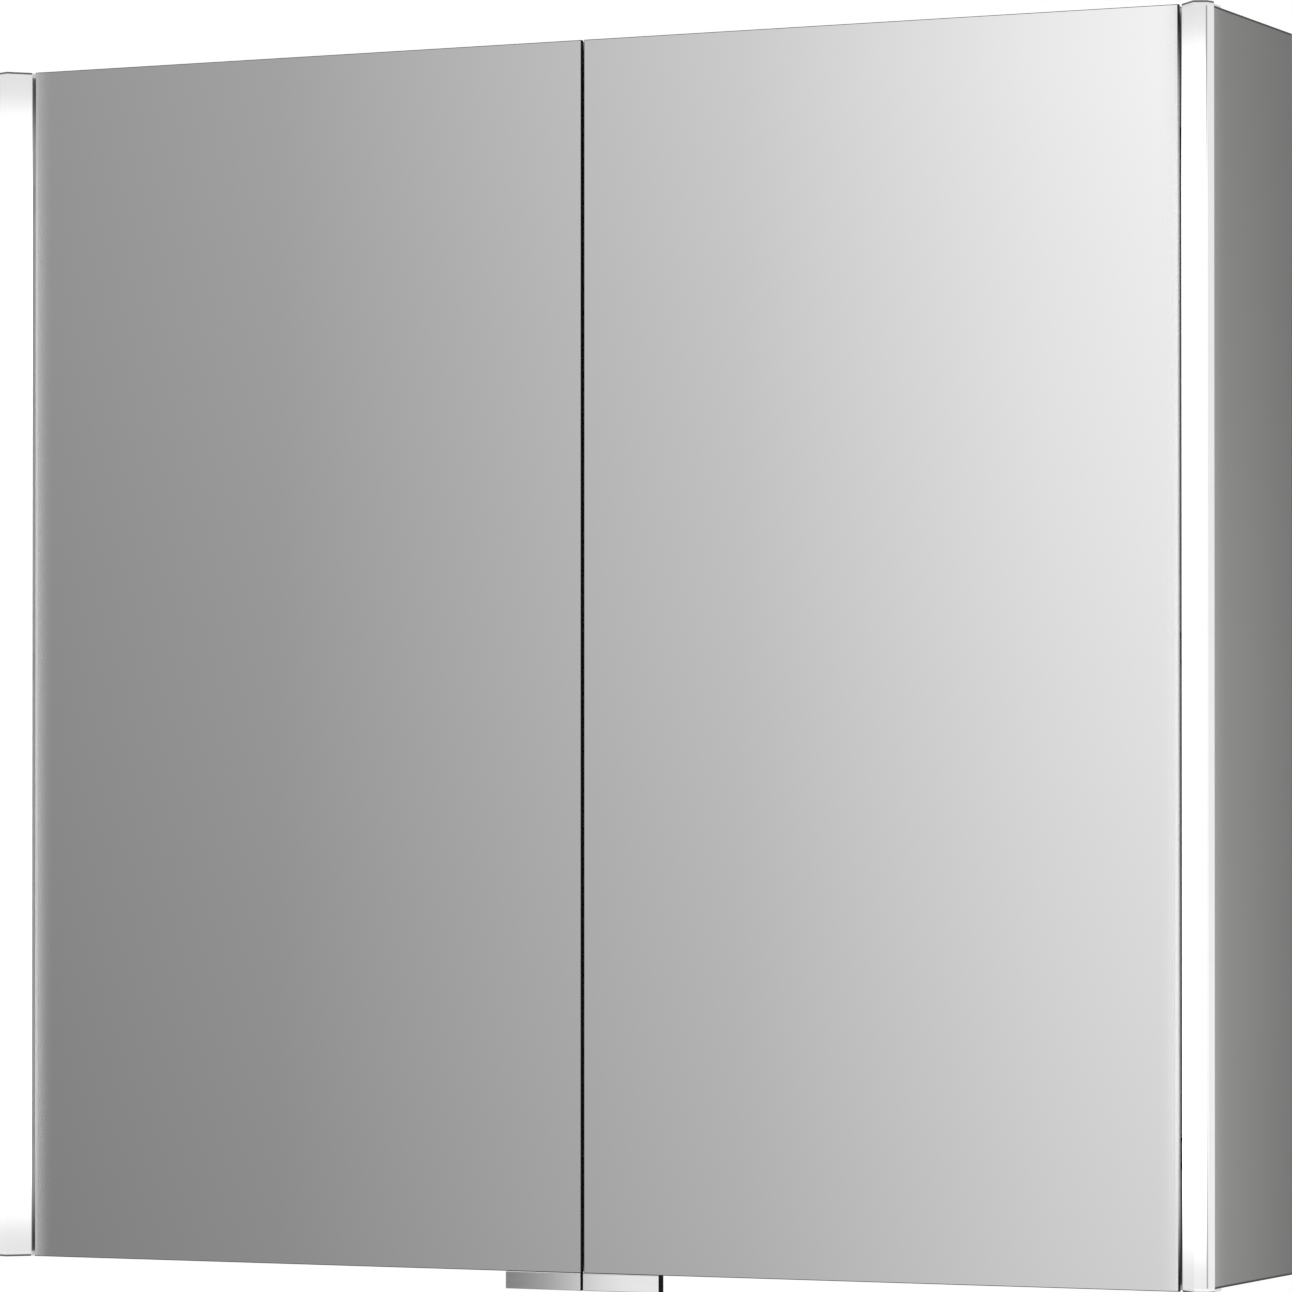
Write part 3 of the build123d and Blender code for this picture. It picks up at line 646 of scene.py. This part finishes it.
def cross_head_screw(mesh, place, axis, radius):
    """A domed screw head with the two strokes of its cross, its back on the place given."""
    dome = [(0, 0.62), (0.45, 0.58), (0.8, 0.42), (1, 0.18), (1, 0), (0, 0)]
    turned(mesh, [(out * radius, along * radius) for out, along in dome], place, axis)
    axis = Vector(axis)
    across = axis.orthogonal().normalized()
    other = axis.cross(across)
    centre = Vector(place) + axis * radius * 0.55
    stroke = Matrix.Diagonal((radius * 1.1, radius * 0.2, radius * 0.18, 1))
    for first, second in ((across, other), (other, across)):
        basis = Matrix((first, second, axis)).transposed().to_4x4()
        where = Matrix.Translation(centre) @ basis @ stroke
        bmesh.ops.create_cube(mesh, size=1, matrix=where)


# ---------------------------------------------------------------- rounded copies of the sharp parts

# Radius of the edges and steps round them, first for the nodes that come in pairs
PAIRED_EDGES = {
    "door_handle": (0.0002, 2),
    "light_lens": (0.0005, 3),
    "light_end_caps": (0.0004, 2),
    "hinge_cups": (0.0004, 2),
    "hinge_arms": (0.0005, 2),
    "hinge_plates": (0.0005, 2),
    "side_panel": (0.0004, 2),
    "light_carrier": (0.0003, 2),
    "rear_mirror": (0.0003, 2),
}
SINGLE_EDGES = {
    "top_panel": (0.0005, 2),
    "bottom_panel": (0.0005, 2),
    "centre_partition": (0.0005, 2),
    "cable_grommet": (0.0005, 2),
    "socket_insert": (0.0005, 2),
    "light_switch": (0.0008, 3),
    "power_unit": (0.0008, 2),
    "led_driver_cover": (0.0004, 2),
}

for side in SIDES:
    for node, (radius, segments) in PAIRED_EDGES.items():
        softened(f"{node}_{side}", radius, segments)
for node, (radius, segments) in SINGLE_EDGES.items():
    softened(node, radius, segments)


# ---------------------------------------------------------------- small pieces the eye expects

def dust_seal():
    """A soft strip down the centre partition's front edge, behind the gap between the doors."""
    low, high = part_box("centre_partition")
    thick, inset, short = 0.0009, 0.002, 0.004
    mesh = bmesh.new()
    block(
        mesh,
        (low.x + inset, low.y - thick, low.z + short),
        (high.x - inset, low.y, high.z - short),
    )
    round_edges(new_piece("dust_seal", mesh, "cabinet", "soft_rubber"), 0.0004, 3)


def hinge_screws():
    """The adjusting screws on the feet of the hinge arms, two on each."""
    radius, from_end, apart = 0.0027, 0.006, 0.020
    for side, sign in SIDES.items():
        arm_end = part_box(f"hinge_arms_{side}")[1].y
        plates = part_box(f"hinge_plates_{side}")
        face = max(abs(plates[0].x), abs(plates[1].x)) - HINGE_PLATE - HINGE_ARM
        mesh = bmesh.new()
        for z in HINGE_LEVELS:
            for y in (arm_end - from_end, arm_end - from_end - apart):
                cross_head_screw(mesh, (sign * face, y, z), (-sign, 0, 0), radius)
        new_piece(f"hinge_adjusting_screws_{side}", mesh, "cabinet", "bright_steel")


def peg_collars():
    """A soft collar round each shelf peg, against the wall that the peg stands in."""
    bore, rim, lip, thick = 0.00252, 0.0040, 0.0006, 0.0010
    chamfer = 0.0004
    ring = [(bore, 0), (rim, 0), (rim, lip), (rim - chamfer, thick), (bore, thick), (bore, 0)]
    for side, sign in SIDES.items():
        mesh = bmesh.new()
        for wall, inwards in ((sign * PANEL_INSIDE, -sign), (sign * PARTITION_SIDE, sign)):
            for y in PEG_ROWS:
                for shelf in SHELF_LEVELS:
                    place = (wall, y, shelf - PEG_BELOW_SHELF)
                    turned(mesh, ring, place, (inwards, 0, 0))
        new_piece(f"peg_collars_{side}", mesh, "cabinet", "grey_plastic")


def underside_screws():
    """Screws up into the undersides of the lights' driver and of the switch and socket unit."""
    radius, from_side, from_front = 0.0022, 0.008, 0.010
    for node in ("led_driver_cover", "power_unit"):
        low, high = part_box(node)
        mesh = bmesh.new()
        for x in (low.x + from_side, high.x - from_side):
            for y in (low.y + from_front, high.y - from_front):
                cross_head_screw(mesh, (x, y, low.z), (0, 0, -1), radius)
        new_piece(f"{node}_screws", mesh, "cabinet", "bright_steel")


def driver_ribs():
    """Low cooling ribs along the driver's front."""
    low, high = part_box("led_driver")
    count, pitch, width, proud = 15, 0.010, 0.004, 0.0012
    mesh = bmesh.new()
    foot, head = low.z + 0.003, high.z - 0.004
    for step in range(count):
        x = low.x + pitch + step * pitch
        block(mesh, (x, low.y - proud, foot), (x + width, low.y, head))
    round_edges(new_piece("driver_ribs", mesh, "cabinet", "light_aluminium"), 0.0005, 3)


def socket_contacts():
    """Sprung contacts behind the socket's two holes."""
    low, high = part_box("socket_insert")
    centre = (low + high) / 2
    bore, outside, mouth, straight, length = 0.0011, 0.0022, 0.0018, 0.0030, 0.0034
    half_pitch, sunk = 0.0095, 0.0002
    sleeve = [(bore, 0), (outside, 0), (outside, straight), (mouth, length), (bore, length)]
    mesh = bmesh.new()
    for sign in SIDES.values():
        back = (centre.x + sign * half_pitch, high.y - sunk, centre.z)
        turned(mesh, [*sleeve, sleeve[0]], back, (0, -1, 0))
    new_piece("socket_contacts", mesh, "cabinet", "bright_steel")


dust_seal()
hinge_screws()
peg_collars()
underside_screws()
driver_ribs()
socket_contacts()


# ---------------------------------------------------------------- studio

# Degrees round from straight ahead of the mirrors, towards the left, and the light's strength
AIR_ROUND = [
    (-180, 0.20),
    (-150, 0.30),
    (-112, 0.40),
    (-80, 0.62),
    (-40, 0.55),
    (-5, 0.72),
    (13, 0.94),
    (20, 0.84),
    (24, 0.545),
    (28, 0.34),
    (31, 0.26),
    (37, 0.17),
    (45, 0.20),
    (80, 0.60),
    (112, 0.40),
    (150, 0.30),
    (180, 0.20),
]
AIR_BELOW, AIR_ABOVE = 0.62, 0.95
AT_EYE_LEVEL, RISE = 0.925, 1.72  # how the air's strength grows upwards
DIMMEST, BRIGHTEST = 0.60, 1.14


def studio_air():
    """Soft light from all round: bright ahead and to the left, dimmer beside and behind."""
    world = bpy.data.worlds.new("studio_air")
    bpy.context.scene.world = world
    world.use_nodes = True
    board = Board(world.node_tree)
    x, y, z = board.split(board.node("ShaderNodeTexCoord", output="Generated"))
    sweep = board.math("ARCTAN2", 0 - x, 0 - y) / (2 * pi) + 0.5
    stops = [(angle / 360 + 0.5, level) for angle, level in AIR_ROUND]
    around = board.node("ShaderNodeValToRGB", {"stops": stops}, [sweep])
    vertical = board.blend(z.between(-0.1, 0.1), grey(AIR_BELOW), grey(AIR_ABOVE))
    air = board.blend(abs(z).between(0.30, 0.85), around, vertical)
    brighter_upwards = (z * RISE + AT_EYE_LEVEL).at_most(BRIGHTEST).at_least(DIMMEST)
    settings = {"operation": "SCALE"}
    lit = board.node("ShaderNodeVectorMath", settings, {0: air, "Scale": brighter_upwards})
    seen = board.node("ShaderNodeLightPath", output="Is Camera Ray")
    glow = board.node("ShaderNodeBackground", values=[board.blend(seen, lit, WHITE), 1.0])
    board.node("ShaderNodeOutputWorld", values=[glow])


FLOOR_RADIUS, FLOOR_LEVEL = 18.0, -5.2
FLOOR_MIDDLE = (0, -0.07, FLOOR_LEVEL)


def floor():
    """A wide pale disc well below the cabinet, which the mirrors don't show."""
    mesh = bmesh.new()
    where = Matrix.Translation(FLOOR_MIDDLE)
    bmesh.ops.create_circle(mesh, cap_ends=True, radius=FLOOR_RADIUS, segments=96, matrix=where)
    data = bpy.data.meshes.new("floor")
    mesh.to_mesh(data)
    mesh.free()
    piece = bpy.data.objects.new("floor", data)
    bpy.context.scene.collection.objects.link(piece)
    board, shade = finish_of("pale_floor")
    cloud = board.noise(board.place(), 3.0, detail=4.0)
    pale = board.blend(cloud, grey(0.84), grey(0.90))
    data.materials.append(shade(Base_Color=pale, Roughness=cloud * 0.1 + 0.6))
    piece.visible_glossy = False
    piece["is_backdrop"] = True


SIDE_LIGHT_POWER = {"left": 1.175, "right": 2.35}
SIDE_LIGHT_OUT, SIDE_LIGHT_FORWARD, SIDE_LIGHT_LEVEL = 0.78, -0.42, -0.30


def side_lights():
    """An upright strip of light beside each side panel, stronger towards the panel's front."""
    for side, sign in SIDES.items():
        data = bpy.data.lights.new(f"{side}_light", "AREA")
        data.shape = "RECTANGLE"
        data.size, data.size_y = 0.10, 1.6
        data.energy = SIDE_LIGHT_POWER[side]
        lamp = bpy.data.objects.new(f"{side}_light", data)
        lamp.location = (sign * SIDE_LIGHT_OUT, SIDE_LIGHT_FORWARD, SIDE_LIGHT_LEVEL)
        aim = Vector((-sign * 0.38, 0.35, 0))
        lamp.rotation_euler = aim.to_track_quat("-Z", "Z").to_euler()
        lamp.visible_camera = lamp.visible_glossy = False
        bpy.context.scene.collection.objects.link(lamp)


CAMERA_PLACE = (1.600, -3.514, -0.116)
CAMERA_TILT, CAMERA_TURN = 90.45, 24.81
CAMERA_LENS, CAMERA_SENSOR = 174.35, 36.0
CAMERA_SHIFT = (0.0038, 0.12)


def camera():
    """A long lens to the right of the cabinet, a little below its middle."""
    data = bpy.data.cameras.new("camera")
    data.sensor_width, data.lens = CAMERA_SENSOR, CAMERA_LENS
    data.shift_x, data.shift_y = CAMERA_SHIFT
    data.clip_end = 100
    made = bpy.data.objects.new("camera", data)
    made.location = CAMERA_PLACE
    made.rotation_euler = (radians(CAMERA_TILT), 0, radians(CAMERA_TURN))
    bpy.context.scene.collection.objects.link(made)
    bpy.context.scene.camera = made


studio_air()
floor()
side_lights()
camera()
bpy.context.scene.view_settings.view_transform = "Standard"

boxes = {"cad": cad_box, "visual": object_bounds()}
{name: [list(corner) for corner in box] for name, box in boxes.items()}
